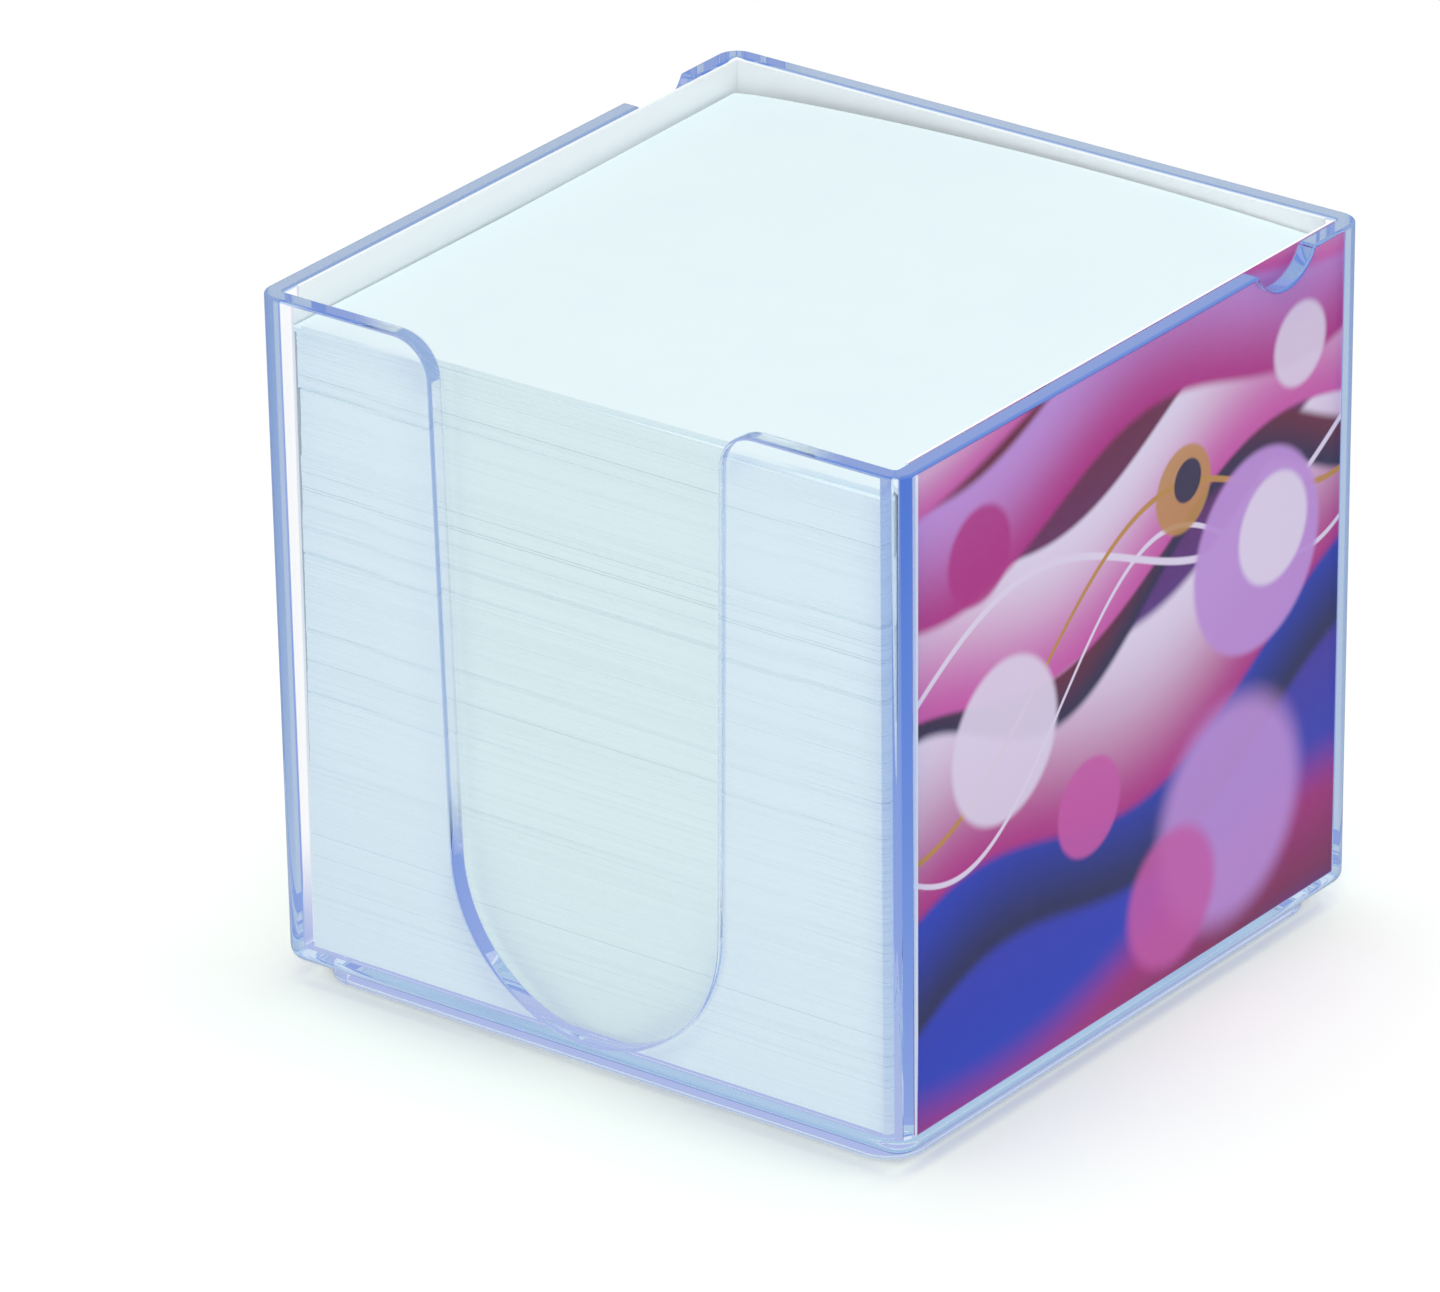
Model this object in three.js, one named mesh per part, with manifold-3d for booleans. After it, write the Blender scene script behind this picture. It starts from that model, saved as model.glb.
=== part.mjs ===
// Memo note holder: a clear moulded box, three insert cards and a stack of loose note sheets.
// Millimetres. X runs across the front, Y runs to the back, Z is up.
// The origin is on the table, under the middle of the box.
import * as THREE from 'three';
import { mergeVertices } from 'three/addons/utils/BufferGeometryUtils.js';
import Module from 'manifold-3d';

// Note sheets, with the play between them and a card. The box and the cards follow from the sheet.
const sheetWidth = 89.5;
const sheetDepth = 89.5;
const sheetClearance = 0.63;

// The stack ends this far under the rim. Its lifts as cut, from the floor up, and the loose sheaf last, share the
// stack's height in these shares.
const stackRimGap = 4;
const stackShares = [60, 98, 98, 98, 90, 100, 132, 90, 80, 8];

// How each lift settled, in shares of the settling distance: sideways, to the back, and how far its corner turned.
const settlingDistance = 0.5;
const settledShares = [
  [-0.1, -0.2, 0],
  [-0.15, -0.3, 0.08],
  [0, -0.25, -0.16],
  [0.2, -0.35, 0.16],
  [0.1, -0.2, -0.24],
  [0.25, -0.35, 0.3],
  [0.15, -0.25, -0.3],
  [0.3, -0.2, 0.24],
  [-0.3, 0.1, -0.3],
  [0.6, 0, 1.4],
];

// Insert cards, which stand on the floor, lean on the walls and are as wide as the sheet.
const cardThickness = 0.4;
const cardWallClearance = 0.12;
const cardBackClearance = 0.3;
const backCardShift = -0.45;
const cardRimGap = 0.5;

// Box walls and floor. The walls lean out by the draft between the floor and the rim.
const boxHeight = 94;
const wallThickness = 2.5;
const floorThickness = 1.8;
const wallDraft = 0.6;
const cornerRadius = 3;
const cavityCornerRadius = 0.5;
const bottomEdgeRadius = 1.8;
const rimEdgeRadius = 0.4;

// Foot: a ring under the floor, set in from the walls.
const footHeight = 2.8;
const footInset = 2.8;
const footRingThickness = 2.2;
const footDraft = 0.2;
const footCornerRadius = 5.5;
const footEdgeRadius = 0.4;

// Moulding gate on the underside of the floor.
const gateDishRadius = 4;
const gateDishDepth = 0.4;
const gateStubRadius = 1.2;
const gateStubHeight = 0.8;

// Finger cut-out in the front wall.
const slotRadius = 20.4;
const slotSillHeight = 0.4;
const slotLeanDegrees = 1.3;
const slotShoulderRadius = 5.5;

// Pen notches in the top edge of the two side walls.
const notchWidth = 12;
const notchDepth = 3.6;
const notchFromBack = 17;

// Cutters run past the solid that they cut by this much.
const cutOverrun = 2;

// Facets on a rounded corner, a rounded edge, the cut-out's bottom, a shoulder, and the notches and gate.
const cornerSteps = 7;
const edgeSteps = 4;
const slotSteps = 40;
const shoulderSteps = 10;
const roundSteps = 48;

const wasm = await Module();
wasm.setup();

// Heights and spans that several pieces share.
const floorTop = footHeight + floorThickness;
const cavityHeight = boxHeight - floorTop;
const cardHeight = cavityHeight - cardRimGap;
const besideSheets = sheetClearance + cardThickness + cardWallClearance;

// Half of the cavity's span at a height, for the sheet's width or depth.
function innerHalf(sheetSpan, height) {
  return sheetSpan / 2 + besideSheets + wallDraft * (height - floorTop) / cavityHeight;
}

// Half of the outside span at a height.
function outerHalf(sheetSpan, height) {
  return innerHalf(sheetSpan, height) + wallThickness;
}

// One level of a loft: a rectangle with rounded corners.
function ring(halfX, halfY, radius, height) {
  const points = [];
  for (let corner = 0; corner < 4; corner += 1) {
    const signX = corner === 0 || corner === 3 ? 1 : -1;
    const signY = corner < 2 ? 1 : -1;
    for (let step = 0; step <= cornerSteps; step += 1) {
      const angle = (corner + step / cornerSteps) * Math.PI / 2;
      const x = signX * (halfX - radius) + radius * Math.cos(angle);
      const y = signY * (halfY - radius) + radius * Math.sin(angle);
      points.push(new THREE.Vector3(x, y, height));
    }
  }
  return points;
}

// Closed skin over a list of rings from the lowest to the highest.
function loft(rings) {
  const sides = rings[0].length;
  const positions = [];
  const index = [];
  for (const level of rings) {
    for (const point of level) {
      positions.push(point.x, point.y, point.z);
    }
  }
  for (let level = 0; level + 1 < rings.length; level += 1) {
    for (let side = 0; side < sides; side += 1) {
      const next = (side + 1) % sides;
      const a = level * sides + side;
      const b = level * sides + next;
      index.push(a, b, b + sides);
      index.push(a, b + sides, a + sides);
    }
  }
  const top = (rings.length - 1) * sides;
  for (let side = 1; side + 1 < sides; side += 1) {
    index.push(0, side + 1, side);
    index.push(top, top + side, top + side + 1);
  }
  const geometry = new THREE.BufferGeometry();
  geometry.setAttribute('position', new THREE.Float32BufferAttribute(positions, 3));
  geometry.setIndex(index);
  return geometry;
}

// Solid for joining and cutting, from a closed geometry.
function solidOf(geometry) {
  const bare = geometry.clone();
  bare.deleteAttribute('normal');
  bare.deleteAttribute('uv');
  const merged = mergeVertices(bare);
  const vertProperties = new Float32Array(merged.attributes.position.array);
  const triVerts = new Uint32Array(merged.index.array);
  return new wasm.Manifold(new wasm.Mesh({ numProp: 3, vertProperties, triVerts }));
}

// Geometry of a joined or cut solid.
function geometryOf(solid) {
  const mesh = solid.getMesh();
  const geometry = new THREE.BufferGeometry();
  geometry.setAttribute('position', new THREE.BufferAttribute(mesh.vertProperties, 3));
  geometry.setIndex(new THREE.BufferAttribute(mesh.triVerts, 1));
  return geometry;
}

// Outside of the walls, with a rounded bottom edge and a slightly rounded rim.
function wallBlock() {
  const rings = [];
  for (let step = 0; step <= edgeSteps; step += 1) {
    const angle = step / edgeSteps * Math.PI / 2;
    const inset = bottomEdgeRadius * (1 - Math.sin(angle));
    const height = footHeight + bottomEdgeRadius * (1 - Math.cos(angle));
    const halfX = outerHalf(sheetWidth, height) - inset;
    const halfY = outerHalf(sheetDepth, height) - inset;
    rings.push(ring(halfX, halfY, cornerRadius - inset, height));
  }
  for (let step = 0; step <= edgeSteps; step += 1) {
    const angle = step / edgeSteps * Math.PI / 2;
    const inset = rimEdgeRadius * (1 - Math.cos(angle));
    const height = boxHeight - rimEdgeRadius * (1 - Math.sin(angle));
    const halfX = outerHalf(sheetWidth, height) - inset;
    const halfY = outerHalf(sheetDepth, height) - inset;
    rings.push(ring(halfX, halfY, cornerRadius - inset, height));
  }
  return loft(rings);
}

// Space inside the walls, which flares at the rounded rim.
function cavityBlock() {
  const rings = [ring(innerHalf(sheetWidth, floorTop), innerHalf(sheetDepth, floorTop), cavityCornerRadius, floorTop)];
  for (let step = 0; step <= edgeSteps; step += 1) {
    const angle = step / edgeSteps * Math.PI / 2;
    const flare = rimEdgeRadius * (1 - Math.cos(angle));
    const height = boxHeight - rimEdgeRadius * (1 - Math.sin(angle));
    const halfX = innerHalf(sheetWidth, height) + flare;
    const halfY = innerHalf(sheetDepth, height) + flare;
    rings.push(ring(halfX, halfY, cavityCornerRadius + flare, height));
  }
  const mouthX = innerHalf(sheetWidth, boxHeight) + rimEdgeRadius;
  const mouthY = innerHalf(sheetDepth, boxHeight) + rimEdgeRadius;
  rings.push(ring(mouthX, mouthY, cavityCornerRadius + rimEdgeRadius, boxHeight + cutOverrun));
  return loft(rings);
}

// Half of the foot's outside span at its root, where it meets the floor.
function footHalf(sheetSpan) {
  return outerHalf(sheetSpan, footHeight) - footInset;
}

// Outside of the foot, which reaches half way into the floor so that the two join.
function footBlock() {
  const rings = [];
  for (let step = 0; step <= edgeSteps; step += 1) {
    const angle = step / edgeSteps * Math.PI / 2;
    const inset = footDraft + footEdgeRadius * (1 - Math.sin(angle));
    const height = footEdgeRadius * (1 - Math.cos(angle));
    rings.push(ring(footHalf(sheetWidth) - inset, footHalf(sheetDepth) - inset, footCornerRadius - inset, height));
  }
  const root = footHeight + floorThickness / 2;
  rings.push(ring(footHalf(sheetWidth), footHalf(sheetDepth), footCornerRadius, root));
  return loft(rings);
}

// Space inside the foot's ring, wider at its mouth so that the moulding leaves the tool.
function footRecessBlock() {
  const innerX = footHalf(sheetWidth) - footDraft - footRingThickness;
  const innerY = footHalf(sheetDepth) - footDraft - footRingThickness;
  const radius = footCornerRadius - footDraft - footRingThickness;
  return loft([
    ring(innerX, innerY, radius, -cutOverrun),
    ring(innerX, innerY, radius, 0),
    ring(innerX - footDraft, innerY - footDraft, radius - footDraft, footHeight),
  ]);
}

// Upright cylinder between two heights on the box's middle line.
function uprightCylinder(radius, low, high) {
  const geometry = new THREE.CylinderGeometry(radius, radius, high - low, roundSteps);
  geometry.rotateX(Math.PI / 2);
  geometry.translate(0, 0, (low + high) / 2);
  return geometry;
}

// Finger cut-out: a half round at the bottom, sides that lean out, and rounded shoulders at the rim.
function slotBlock() {
  const lean = THREE.MathUtils.degToRad(slotLeanDegrees);
  const centreHeight = floorTop + slotSillHeight + slotRadius;
  const tangentX = slotRadius * Math.cos(lean);
  const tangentZ = centreHeight - slotRadius * Math.sin(lean);
  const shoulderZ = boxHeight - slotShoulderRadius;
  const sideTopZ = shoulderZ + slotShoulderRadius * Math.sin(lean);
  const sideTopX = tangentX + (sideTopZ - tangentZ) * Math.tan(lean);
  const shoulderX = sideTopX + slotShoulderRadius * Math.cos(lean);
  const outline = [];
  for (let step = 0; step <= shoulderSteps; step += 1) {
    const angle = Math.PI / 2 + (Math.PI / 2 - lean) * step / shoulderSteps;
    const x = shoulderX + slotShoulderRadius * Math.cos(angle);
    const z = shoulderZ + slotShoulderRadius * Math.sin(angle);
    outline.push(new THREE.Vector2(x, z));
  }
  for (let step = 0; step <= slotSteps / 2; step += 1) {
    const angle = -lean - (Math.PI / 2 - lean) * step / (slotSteps / 2);
    outline.push(new THREE.Vector2(slotRadius * Math.cos(angle), centreHeight + slotRadius * Math.sin(angle)));
  }
  const mirrored = outline.slice(0, -1).reverse().map((point) => new THREE.Vector2(-point.x, point.y));
  const shape = new THREE.Shape([
    new THREE.Vector2(shoulderX, boxHeight + cutOverrun),
    ...outline,
    ...mirrored,
    new THREE.Vector2(-shoulderX, boxHeight + cutOverrun),
  ]);
  const depth = wallThickness + wallDraft + 2 * cutOverrun;
  const geometry = new THREE.ExtrudeGeometry(shape, { depth, bevelEnabled: false });
  geometry.rotateX(Math.PI / 2);
  geometry.translate(0, depth - cutOverrun - outerHalf(sheetDepth, boxHeight), 0);
  return geometry;
}

// Pen notches: one round bar across the box cuts both side walls.
function notchBlock() {
  const radius = (notchWidth * notchWidth / 4 + notchDepth * notchDepth) / (2 * notchDepth);
  const length = 2 * (outerHalf(sheetWidth, boxHeight) + cutOverrun);
  const geometry = new THREE.CylinderGeometry(radius, radius, length, roundSteps);
  geometry.rotateZ(Math.PI / 2);
  geometry.translate(0, outerHalf(sheetDepth, boxHeight) - notchFromBack, boxHeight - notchDepth + radius);
  return geometry;
}

// The whole clear moulding.
function caseGeometry() {
  const gateCeiling = footHeight + gateDishDepth;
  let solid = solidOf(wallBlock());
  solid = solid.add(solidOf(footBlock()));
  solid = solid.subtract(solidOf(cavityBlock()));
  solid = solid.subtract(solidOf(footRecessBlock()));
  solid = solid.subtract(solidOf(uprightCylinder(gateDishRadius, 0, gateCeiling)));
  solid = solid.add(solidOf(uprightCylinder(gateStubRadius, gateCeiling - gateStubHeight, footHeight + floorThickness / 2)));
  solid = solid.subtract(solidOf(slotBlock()));
  solid = solid.subtract(solidOf(notchBlock()));
  return geometryOf(solid);
}

// Card that leans on the wall at +X. It stands on the floor, and sheetSpan is the sheet's size across that way.
function cardGeometry(sheetSpan, cardWidth) {
  const cardTop = floorTop + cardHeight;
  const footX = innerHalf(sheetSpan, floorTop) - cardWallClearance;
  const headX = innerHalf(sheetSpan, cardTop) - cardWallClearance;
  const section = new THREE.Shape([
    new THREE.Vector2(footX - cardThickness, floorTop),
    new THREE.Vector2(footX, floorTop),
    new THREE.Vector2(headX, cardTop),
    new THREE.Vector2(headX - cardThickness, cardTop),
  ]);
  const geometry = new THREE.ExtrudeGeometry(section, { depth: cardWidth, bevelEnabled: false });
  geometry.rotateX(Math.PI / 2);
  geometry.translate(0, cardWidth / 2, 0);
  return geometry;
}

const clearPlastic = new THREE.MeshStandardMaterial({
  color: 0xdfe8f6,
  roughness: 0.05,
  metalness: 0,
  transparent: true,
  opacity: 0.35,
});
const printedCard = new THREE.MeshStandardMaterial({ color: 0xb0488c, roughness: 0.35, metalness: 0 });
const plainCard = new THREE.MeshStandardMaterial({ color: 0xf1f4f8, roughness: 0.6, metalness: 0 });
const notePaper = new THREE.MeshStandardMaterial({ color: 0xf2f6f8, roughness: 0.85, metalness: 0 });

const group = new THREE.Group();

function addPiece(name, geometry, material) {
  const mesh = new THREE.Mesh(geometry, material.clone());
  mesh.name = name;
  group.add(mesh);
  return mesh;
}

addPiece('clear_case', caseGeometry(), clearPlastic);

// The side cards are pushed to the back wall, which leaves a strip of the wall bare at the front.
const sideCardShift = innerHalf(sheetDepth, floorTop) - cardBackClearance - sheetDepth / 2;
addPiece('right_card', cardGeometry(sheetWidth, sheetDepth), printedCard).position.y = sideCardShift;
const leftCard = addPiece('left_card', cardGeometry(sheetWidth, sheetDepth), plainCard);
leftCard.rotation.z = Math.PI;
leftCard.position.y = sideCardShift;

// The back card stands between the side cards, pushed to the left one.
const backCard = addPiece('back_card', cardGeometry(sheetDepth, sheetWidth), plainCard);
backCard.rotation.z = Math.PI / 2;
backCard.position.x = backCardShift;

// Lifts of sheets, each on the one below, and the sheaf of loose sheets on top.
const stackHeight = cavityHeight - stackRimGap;
const shareSum = stackShares.reduce((sum, share) => sum + share, 0);
const longestHalf = Math.max(sheetWidth, sheetDepth) / 2;
let lowestHeight = floorTop;
stackShares.forEach((share, level) => {
  const height = stackHeight * share / shareSum;
  const [sideways, rearward, turned] = settledShares[level];
  const geometry = new THREE.BoxGeometry(sheetWidth, sheetDepth, height);
  geometry.translate(0, 0, height / 2);
  const name = level + 1 < stackShares.length ? `note_lift_${level + 1}` : 'top_note_sheaf';
  const lift = addPiece(name, geometry, notePaper);
  lift.position.set(sideways * settlingDistance, rearward * settlingDistance, lowestHeight);
  lift.rotation.z = Math.asin(turned * settlingDistance / longestHalf);
  lowestHeight += height;
});

export default group;
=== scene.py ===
"""Looks of a clear note box with its loose sheets and insert cards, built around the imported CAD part.

The size classes hold millimetres in the row frame: X runs across the front, Y to the back and Z up.
Finishes and the studio hold metres, and colours are linear.
"""

from __future__ import annotations

import logging
import math
from dataclasses import dataclass, field
from enum import Enum
from typing import Sequence

import bpy
import numpy as np
from mathutils import Matrix, Vector

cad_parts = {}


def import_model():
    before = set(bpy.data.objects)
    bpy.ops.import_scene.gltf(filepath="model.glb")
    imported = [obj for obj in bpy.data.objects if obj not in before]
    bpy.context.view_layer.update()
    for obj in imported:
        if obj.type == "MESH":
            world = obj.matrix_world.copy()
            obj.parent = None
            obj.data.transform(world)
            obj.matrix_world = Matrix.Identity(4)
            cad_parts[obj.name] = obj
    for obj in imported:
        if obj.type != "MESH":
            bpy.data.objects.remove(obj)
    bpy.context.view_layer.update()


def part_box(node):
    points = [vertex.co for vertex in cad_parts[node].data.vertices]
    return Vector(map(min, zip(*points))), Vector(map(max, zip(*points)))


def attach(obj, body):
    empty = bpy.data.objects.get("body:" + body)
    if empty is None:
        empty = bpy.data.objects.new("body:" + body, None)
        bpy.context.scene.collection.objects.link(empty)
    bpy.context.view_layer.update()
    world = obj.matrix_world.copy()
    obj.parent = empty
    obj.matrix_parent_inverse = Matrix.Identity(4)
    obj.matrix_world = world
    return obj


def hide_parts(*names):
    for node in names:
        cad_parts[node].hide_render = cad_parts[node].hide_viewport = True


LOG = logging.getLogger("note_box")
MM = 0.001
SHEET_SIDE = 89.5
SEED = 7

Colour = tuple[float, float, float]
Point = tuple[float, float, float]
Ring = list[Point]
Socket = bpy.types.NodeSocket

WHITE = (1.0, 1.0, 1.0)
CARD_WHITE = (0.95, 0.985, 1.0)


class Side(Enum):
    """Wall that an insert card leans on, as the card's turn about Z in degrees."""

    RIGHT = 0
    BACK = 90
    LEFT = 180


class Body(Enum):
    """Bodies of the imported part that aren't a lift of sheets."""

    CASE = "case"
    RIGHT_CARD = "right_card"
    LEFT_CARD = "left_card"
    BACK_CARD = "back_card"


class Slot(Enum):
    """Material slots of the record."""

    CLEAR_PLASTIC = "clear_plastic"
    PRINTED_CARD = "printed_card"
    PLAIN_CARD = "plain_card"
    NOTE_PAPER = "note_paper"


# Shading helpers


class Graph:
    """Node graph of one material or world.

    Attributes:
        MIX_FIRST: Number of a Mix node's first colour input.
        MIX_SECOND: Number of its second colour input.
        MIX_RESULT: Number of its colour output.
        HALF_BOUNCE: What parts one whole number of bounces from the next.
    """

    MIX_FIRST = 6
    MIX_SECOND = 7
    MIX_RESULT = 2
    HALF_BOUNCE = 0.5

    def __init__(self, owner: bpy.types.Material | bpy.types.World) -> None:
        """Empties the owner's node tree.

        Args:
            owner: Material or world whose nodes are built.
        """
        owner.use_nodes = True
        self.tree = owner.node_tree
        self.tree.nodes.clear()

    def node(self, kind: str, inputs: dict | None = None, **settings: object) -> bpy.types.Node:
        """Adds a node.

        Args:
            kind: Node type without the ShaderNode prefix.
            inputs: Values or sockets by the input's name or number.
            **settings: Attributes to set on the node.

        Returns:
            The new node.
        """
        made = self.tree.nodes.new("ShaderNode" + kind)
        for name, value in settings.items():
            setattr(made, name, value)
        for key, value in (inputs or {}).items():
            self.feed(made.inputs[key], value)
        return made

    def feed(self, target: Socket, value: object) -> None:
        """Links a socket to an input, or sets the input's value.

        Args:
            target: Input to feed.
            value: Socket to link, or a plain value. A colour has three numbers.
        """
        if isinstance(value, Socket):
            self.tree.links.new(value, target)
        elif isinstance(value, (tuple, list)) and len(value) == 3 and target.type == "RGBA":
            target.default_value = (*value, 1.0)
        else:
            target.default_value = value

    def math(self, operation: str, *values: object) -> Socket:
        """Adds a Math node over numbers or sockets and returns its result."""
        return self.node("Math", dict(enumerate(values)), operation=operation).outputs[0]

    def reached(self, bounces: Socket, number: int) -> Socket:
        """Returns 1 where a ray's count of bounces has reached a number, and 0 elsewhere."""
        return self.math("GREATER_THAN", bounces, number - self.HALF_BOUNCE)

    def below(self, bounces: Socket, number: int) -> Socket:
        """Returns 1 where a ray's count of bounces is below a number, and 0 elsewhere."""
        return self.math("LESS_THAN", bounces, number - self.HALF_BOUNCE)

    def blend(self, share: object, first: object, second: object) -> Socket:
        """Mixes two colours.

        Args:
            share: Share of the second colour.
            first: Colour or socket shown where the share is 0.
            second: Colour or socket shown where the share is 1.

        Returns:
            The mixed colour.
        """
        made = self.node("Mix", data_type="RGBA")
        self.feed(made.inputs[0], share)
        self.feed(made.inputs[self.MIX_FIRST], first)
        self.feed(made.inputs[self.MIX_SECOND], second)
        return made.outputs[self.MIX_RESULT]

    def either(self, share: Socket, first: bpy.types.Node, second: bpy.types.Node) -> bpy.types.Node:
        """Mixes two shaders by the second one's share and returns the mix."""
        return self.node("MixShader", {0: share, 1: first.outputs[0], 2: second.outputs[0]})

    def ramp(self, value: Socket, low: float, high: float, start: float = 0.0, end: float = 1.0) -> Socket:
        """Maps a value smoothly from one range to another.

        Args:
            value: Value to map.
            low: Lower end of its range.
            high: Upper end of its range.
            start: Result at and below the lower end.
            end: Result at and above the upper end.

        Returns:
            The result.
        """
        made = self.node("MapRange", interpolation_type="SMOOTHSTEP")
        for key, entry in enumerate((value, low, high, start, end)):
            self.feed(made.inputs[key], entry)
        return made.outputs[0]

    def axes(self) -> tuple[Socket, Socket, Socket]:
        """Reads where a point lies.

        Returns:
            The object's own X, Y and Z coordinates.
        """
        place = self.node("TexCoord").outputs["Object"]
        split = self.node("SeparateXYZ", {0: place})
        return split.outputs[0], split.outputs[1], split.outputs[2]

    def facing(self, axis: int) -> Socket:
        """Returns the surface normal's part along one axis, by the axis's number."""
        normal = self.node("NewGeometry").outputs["Normal"]
        return self.node("SeparateXYZ", {0: normal}).outputs[axis]

    def output(self, surface: Socket, volume: Socket | None = None) -> None:
        """Links the finished shaders.

        Args:
            surface: Shader of the surface, or the world's background.
            volume: Shader of the volume, where there is one.
        """
        kind = "OutputWorld" if isinstance(self.tree.id_data, bpy.types.World) else "OutputMaterial"
        made = self.node(kind, {"Surface": surface})
        if volume is not None:
            self.feed(made.inputs["Volume"], volume)


# Finishes


@dataclass(frozen=True)
class ClearPlasticFinish:
    """Polished clear polystyrene, faintly blue through its edges.

    Attributes:
        refraction: Index of refraction.
        gloss: Tint of the reflection on a face met square on.
        roughness: Surface roughness.
        tint: Colour of the light left by the volume.
        density: Absorption per metre.
        shadow: Share of the light that one surface lets into a shadow.
        guided: Colour of light that has been led a long way inside the wall.
        guided_from: Number of reflections inside the wall after which light leaves it in that colour.
        wave_scale: Scale of the moulding's slow waves.
        wave_detail: Detail of the waves.
        wave_height: Height of the waves.
        slot_open: Share of the light that leaves by the inner face beside the cut-out.
        slot_strip: Distances from the middle between which that fades.
        slot_rise: Heights between which it starts.
        slot_face: Y of that face at the middle of its height.
        slot_reach: How far from there the leaning face may lie.
    """

    refraction: float = 1.57
    gloss: Colour = (0.05, 0.05, 0.05)
    roughness: float = 0.015
    tint: Colour = (0.10, 0.48, 0.90)
    density: float = 4.5
    shadow: Colour = WHITE
    guided: Colour = (0.71, 0.81, 0.94)
    guided_from: int = 3
    wave_scale: float = 28.0
    wave_detail: float = 1.0
    wave_height: float = 0.00012
    slot_open: float = 0.9
    slot_strip: tuple[float, float] = (0.028, 0.036)
    slot_rise: tuple[float, float] = (0.022, 0.036)
    slot_face: float = -0.0462
    slot_reach: float = 0.0008

    def material(self) -> bpy.types.Material:
        """Builds the material.

        Returns:
            The clear plastic.
        """
        made = bpy.data.materials.new("clear_plastic")
        graph = Graph(made)
        wave = graph.node("TexNoise", {"Scale": self.wave_scale, "Detail": self.wave_detail})
        graph.feed(wave.inputs["Vector"], graph.node("TexCoord").outputs["Object"])
        bump = graph.node("Bump", {"Strength": 1.0, "Distance": self.wave_height, "Height": wave.outputs[0]})
        clear = graph.node(
            "BsdfPrincipled",
            {
                "Base Color": WHITE,
                "Roughness": self.roughness,
                "IOR": self.refraction,
                "Transmission Weight": 1.0,
                "Specular Tint": self.gloss,
                "Normal": bump.outputs[0],
            },
        )
        path = graph.node("LightPath")
        passing = graph.math("MAXIMUM", path.outputs["Is Shadow Ray"], path.outputs["Is Diffuse Ray"])
        through = graph.node("BsdfTransparent", {"Color": self.shadow})
        lit = graph.either(passing, clear, through)
        spent = graph.reached(path.outputs["Glossy Depth"], self.guided_from)
        first = graph.below(path.outputs["Transparent Depth"], 1)
        led = graph.blend(graph.math("MINIMUM", first, spent), WHITE, self.guided)
        guided = graph.node("BsdfTransparent", {"Color": led})
        opened = graph.math("MAXIMUM", spent, self._beside_slot(graph))
        surface = graph.either(opened, lit, guided)
        volume = graph.node("VolumeAbsorption", {"Color": self.tint, "Density": self.density})
        graph.output(surface.outputs[0], volume.outputs[0])
        return made

    def _beside_slot(self, graph: Graph) -> Socket:
        """Finds the front wall's inner face beside the cut-out.

        Args:
            graph: Graph of the clear plastic.

        Returns:
            How far that face lets light out.
        """
        x, y, z = graph.axes()
        near = graph.ramp(graph.math("ABSOLUTE", x), *self.slot_strip, 1.0, 0.0)
        high = graph.ramp(z, *self.slot_rise, 0.0, self.slot_open)
        inner = graph.math("COMPARE", y, self.slot_face, self.slot_reach)
        return graph.math("MULTIPLY", graph.math("MULTIPLY", near, high), inner)


@dataclass(frozen=True)
class PaperFinish:
    """Uncoated white writing paper with a faint cloudy formation.

    Attributes:
        colour: Colour of the sheet.
        cloud: Colour of its denser patches.
        edge: Colour of the cut edges, painted lighter than the faces: painted light on the stack's sides.
        cloud_scale: Scale of the patches.
        cloud_detail: Detail of the patches.
        cloud_range: Noise between which a patch grows dense.
        cloud_share: How far a patch takes on its colour.
        fibre_scale: Scale of the fibres.
        fibre_detail: Detail of the fibres.
        fibre_height: Height of the fibres.
        fibre_strength: How far the fibres turn the light.
        roughness: Surface roughness.
        shine: Level of the reflection.
    """

    colour: Colour = (0.755, 0.87, 0.895)
    cloud: Colour = (0.73, 0.85, 0.88)
    edge: Colour = (0.805, 0.94, 1.0)
    cloud_scale: float = 90.0
    cloud_detail: float = 3.0
    cloud_range: tuple[float, float] = (0.35, 0.75)
    cloud_share: float = 0.5
    fibre_scale: float = 2600.0
    fibre_detail: float = 2.0
    fibre_height: float = 0.00002
    fibre_strength: float = 0.15
    roughness: float = 0.9
    shine: float = 0.25

    def material(self) -> bpy.types.Material:
        """Builds the material.

        Returns:
            The paper.
        """
        made = bpy.data.materials.new("note_paper")
        graph = Graph(made)
        place = graph.node("TexCoord").outputs["Object"]
        cloud = {"Vector": place, "Scale": self.cloud_scale, "Detail": self.cloud_detail}
        clouds = graph.node("TexNoise", cloud)
        fibre = {"Vector": place, "Scale": self.fibre_scale, "Detail": self.fibre_detail}
        fibres = graph.node("TexNoise", fibre)
        share = graph.ramp(clouds.outputs[0], *self.cloud_range, 0.0, self.cloud_share)
        sheet = graph.blend(share, self.colour, self.cloud)
        # Painted light: faces that point sideways take the lighter edge colour, the top and bottom the
        # sheet's.
        level = graph.math("ABSOLUTE", graph.facing(2))
        colour = graph.blend(level, self.edge, sheet)
        relief = {"Strength": self.fibre_strength, "Distance": self.fibre_height, "Height": fibres.outputs[0]}
        bump = graph.node("Bump", relief)
        surface = graph.node(
            "BsdfPrincipled",
            {
                "Base Color": colour,
                "Roughness": self.roughness,
                "Specular IOR Level": self.shine,
                "Normal": bump.outputs[0],
            },
        )
        graph.output(surface.outputs[0])
        return made


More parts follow.
